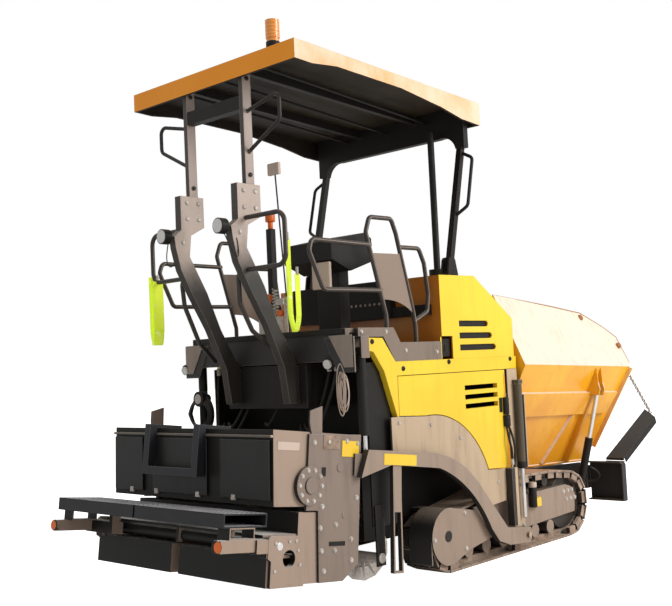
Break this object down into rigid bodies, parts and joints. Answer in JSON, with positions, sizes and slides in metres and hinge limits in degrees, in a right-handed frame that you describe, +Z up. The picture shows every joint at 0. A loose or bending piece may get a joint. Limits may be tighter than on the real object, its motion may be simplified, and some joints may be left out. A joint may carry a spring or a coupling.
{
  "type": "tracked asphalt paver",
  "caption": "Small tracked asphalt paver: folding hopper, slat conveyors, augers, canopied platform and a towed sliding-extension screed with footboards.",
  "frame": {"origin": "middle of the ground area the machine covers, at the level of the track shoes' underside", "axes": "+X forwards, towards the hopper; +Y to the machine's left; +Z up"},
  "size_m": [6.0348, 1.9804, 4.056],
  "materials": {
    "grey_paint": "semi-gloss warm grey enamel, dusty and scuffed",
    "yellow_paint": "gloss yellow enamel",
    "orange_paint": "gloss orange-yellow enamel, dusty",
    "black_paint": "satin black enamel",
    "worn_steel": "worn bare steel with packed dust",
    "tread_plate": "ribbed plate with dark edges",
    "plated_rod": "polished plating",
    "amber_lens": "clear amber moulding"
  },
  "bodies": {
    "tractor": {"track_right": "worn_steel", "track_left": "worn_steel", "track_frames": "worn_steel", "drive_covers": "grey_paint", "main_frame": "grey_paint", "conveyor": "worn_steel", "engine_block": "black_paint", "fenders": "grey_paint", "side_beams": "yellow_paint", "hood": "yellow_paint", "platform": "grey_paint", "control_console": "black_paint", "instrument_wall": "black_paint", "post_brackets": "grey_paint", "rear_posts": "black_paint", "front_posts": "black_paint", "canopy_frame": "black_paint", "canopy": "orange_paint", "exhaust_stack": "black_paint", "beacon": "amber_lens", "guard_rails": "black_paint", "rear_handrails": "black_paint", "work_lights": "black_paint", "hopper_base": "grey_paint", "push_beam": "grey_paint", "auger_drive": "black_paint", "tow_columns": "grey_paint", "levelling_cylinders": "black_paint"},
    "screed": {"tow_arms": "grey_paint", "screed_frame": "black_paint", "screed_cover": "grey_paint", "screed_end_plates": "grey_paint", "step_frame": "grey_paint"},
    "lift_barrels": {"lift_barrels": "black_paint"},
    "lift_rods": {"lift_rods": "plated_rod"},
    "screed_extension_left": {"extension_left": "grey_paint", "footboard_left": "tread_plate"},
    "hopper_wing_left": {"wing_left": "orange_paint"},
    "wing_barrel_left": {"wing_barrel_left": "black_paint"},
    "wing_rod_left": {"wing_rod_left": "plated_rod"},
    "flap_chain_left": {"flap_chain_left": "worn_steel"},
    "front_flap_left": {"front_flap_left": "black_paint"},
    "push_roller_left": {"push_roller_left": "worn_steel"},
    "auger_left": {"auger_left": "worn_steel"},
    "side_door_left": {"side_door_left": "yellow_paint"},
    "screed_extension_right": {"extension_right": "grey_paint", "footboard_right": "tread_plate"},
    "hopper_wing_right": {"wing_right": "orange_paint"},
    "wing_barrel_right": {"wing_barrel_right": "black_paint"},
    "wing_rod_right": {"wing_rod_right": "plated_rod"},
    "flap_chain_right": {"flap_chain_right": "worn_steel"},
    "front_flap_right": {"front_flap_right": "black_paint"},
    "push_roller_right": {"push_roller_right": "worn_steel"},
    "auger_right": {"auger_right": "worn_steel"},
    "side_door_right": {"side_door_right": "yellow_paint"}
  },
  "joints": [
    {"name": "screed_lift", "type": "hinge", "parent": "tractor", "child": "screed", "pos_m": [0.312, 0, 0.15], "axis": [0, 1, 0], "range_deg": [-4.3, 0]},
    {"name": "lift_barrel_swing", "type": "hinge", "parent": "tractor", "child": "lift_barrels", "pos_m": [-1.608, 0, 1.72], "axis": [0, 1, 0], "range_deg": [-0.05, 3.9]},
    {"name": "lift_rod_slide", "type": "slide", "parent": "lift_barrels", "child": "lift_rods", "axis": [0, 0, -1], "range_m": [-0.0005, 0.1488]},
    {"name": "extension_slide_right", "type": "slide", "parent": "screed", "child": "screed_extension_right", "axis": [0, -1, 0], "range_m": [0, 0.7]},
    {"name": "wing_fold_right", "type": "hinge", "parent": "tractor", "child": "hopper_wing_right", "pos_m": [0.367, -0.52, 0.65], "axis": [0.9991, 0, -0.0419], "range_deg": [0, 36]},
    {"name": "wing_barrel_swing_right", "type": "hinge", "parent": "tractor", "child": "wing_barrel_right", "pos_m": [1.65857, -0.712, 0.39769], "axis": [0.9991, 0, -0.0419], "range_deg": [-0.1, 32.93]},
    {"name": "wing_rod_slide_right", "type": "slide", "parent": "wing_barrel_right", "child": "wing_rod_right", "axis": [0.0407, -0.2372, 0.9706], "range_m": [-0.1646, 0.0005]},
    {"name": "chain_swing_right", "type": "hinge", "parent": "hopper_wing_right", "child": "flap_chain_right", "pos_m": [2.30942, -0.95, 1.40732], "axis": [0.6082, -0.3427, 0.716], "range_deg": [-0.1, 33.09]},
    {"name": "flap_swing_right", "type": "hinge", "parent": "tractor", "child": "front_flap_right", "pos_m": [2.117, -0.75, 0.592], "axis": [0, 1, 0], "range_deg": [-4.1, 0.1]},
    {"name": "roller_spin_right", "type": "hinge", "parent": "tractor", "child": "push_roller_right", "pos_m": [2.257, 0, 0.41], "axis": [0, 1, 0], "continuous": true},
    {"name": "auger_spin_right", "type": "hinge", "parent": "tractor", "child": "auger_right", "pos_m": [-1.458, 0, 0.25], "axis": [0, 1, 0], "continuous": true},
    {"name": "door_swing_right", "type": "hinge", "parent": "tractor", "child": "side_door_right", "pos_m": [-1.221, -0.885, 1.4], "axis": [0, 0, -1], "range_deg": [0, 100]},
    {"name": "extension_slide_left", "type": "slide", "parent": "screed", "child": "screed_extension_left", "axis": [0, 1, 0], "range_m": [0, 0.7]},
    {"name": "wing_fold_left", "type": "hinge", "parent": "tractor", "child": "hopper_wing_left", "pos_m": [0.367, 0.52, 0.65], "axis": [-0.9991, 0, 0.0419], "range_deg": [0, 36]},
    {"name": "wing_barrel_swing_left", "type": "hinge", "parent": "tractor", "child": "wing_barrel_left", "pos_m": [1.65857, 0.712, 0.39769], "axis": [-0.9991, 0, 0.0419], "range_deg": [-0.1, 32.93]},
    {"name": "wing_rod_slide_left", "type": "slide", "parent": "wing_barrel_left", "child": "wing_rod_left", "axis": [0.0407, 0.2372, 0.9706], "range_m": [-0.1646, 0.0005]},
    {"name": "chain_swing_left", "type": "hinge", "parent": "hopper_wing_left", "child": "flap_chain_left", "pos_m": [2.30942, 0.95, 1.40732], "axis": [-0.6082, -0.3427, -0.716], "range_deg": [-0.1, 33.09]},
    {"name": "flap_swing_left", "type": "hinge", "parent": "tractor", "child": "front_flap_left", "pos_m": [2.117, 0.75, 0.592], "axis": [0, 1, 0], "range_deg": [-4.1, 0.1]},
    {"name": "roller_spin_left", "type": "hinge", "parent": "tractor", "child": "push_roller_left", "pos_m": [2.257, 0, 0.41], "axis": [0, 1, 0], "continuous": true},
    {"name": "auger_spin_left", "type": "hinge", "parent": "tractor", "child": "auger_left", "pos_m": [-1.458, 0, 0.25], "axis": [0, 1, 0], "continuous": true},
    {"name": "door_swing_left", "type": "hinge", "parent": "tractor", "child": "side_door_left", "pos_m": [-1.221, 0.885, 1.4], "axis": [0, 0, 1], "range_deg": [0, 100]}
  ],
  "couplings": [
    {"joint": "lift_barrel_swing", "follows": "screed_lift", "ratio": -0.89573},
    {"joint": "lift_rod_slide", "follows": "screed_lift", "m_per_rad": -1.9762},
    {"joint": "wing_barrel_swing_right", "follows": "wing_fold_right", "ratio": 0.91205},
    {"joint": "wing_rod_slide_right", "follows": "wing_fold_right", "m_per_rad": -0.26121},
    {"joint": "chain_swing_right", "follows": "wing_fold_right", "ratio": 0.91636},
    {"joint": "flap_swing_right", "follows": "wing_fold_right", "ratio": -0.11111},
    {"joint": "wing_barrel_swing_left", "follows": "wing_fold_left", "ratio": 0.91205},
    {"joint": "wing_rod_slide_left", "follows": "wing_fold_left", "m_per_rad": -0.26121},
    {"joint": "chain_swing_left", "follows": "wing_fold_left", "ratio": 0.91636},
    {"joint": "flap_swing_left", "follows": "wing_fold_left", "ratio": -0.11111}
  ]
}
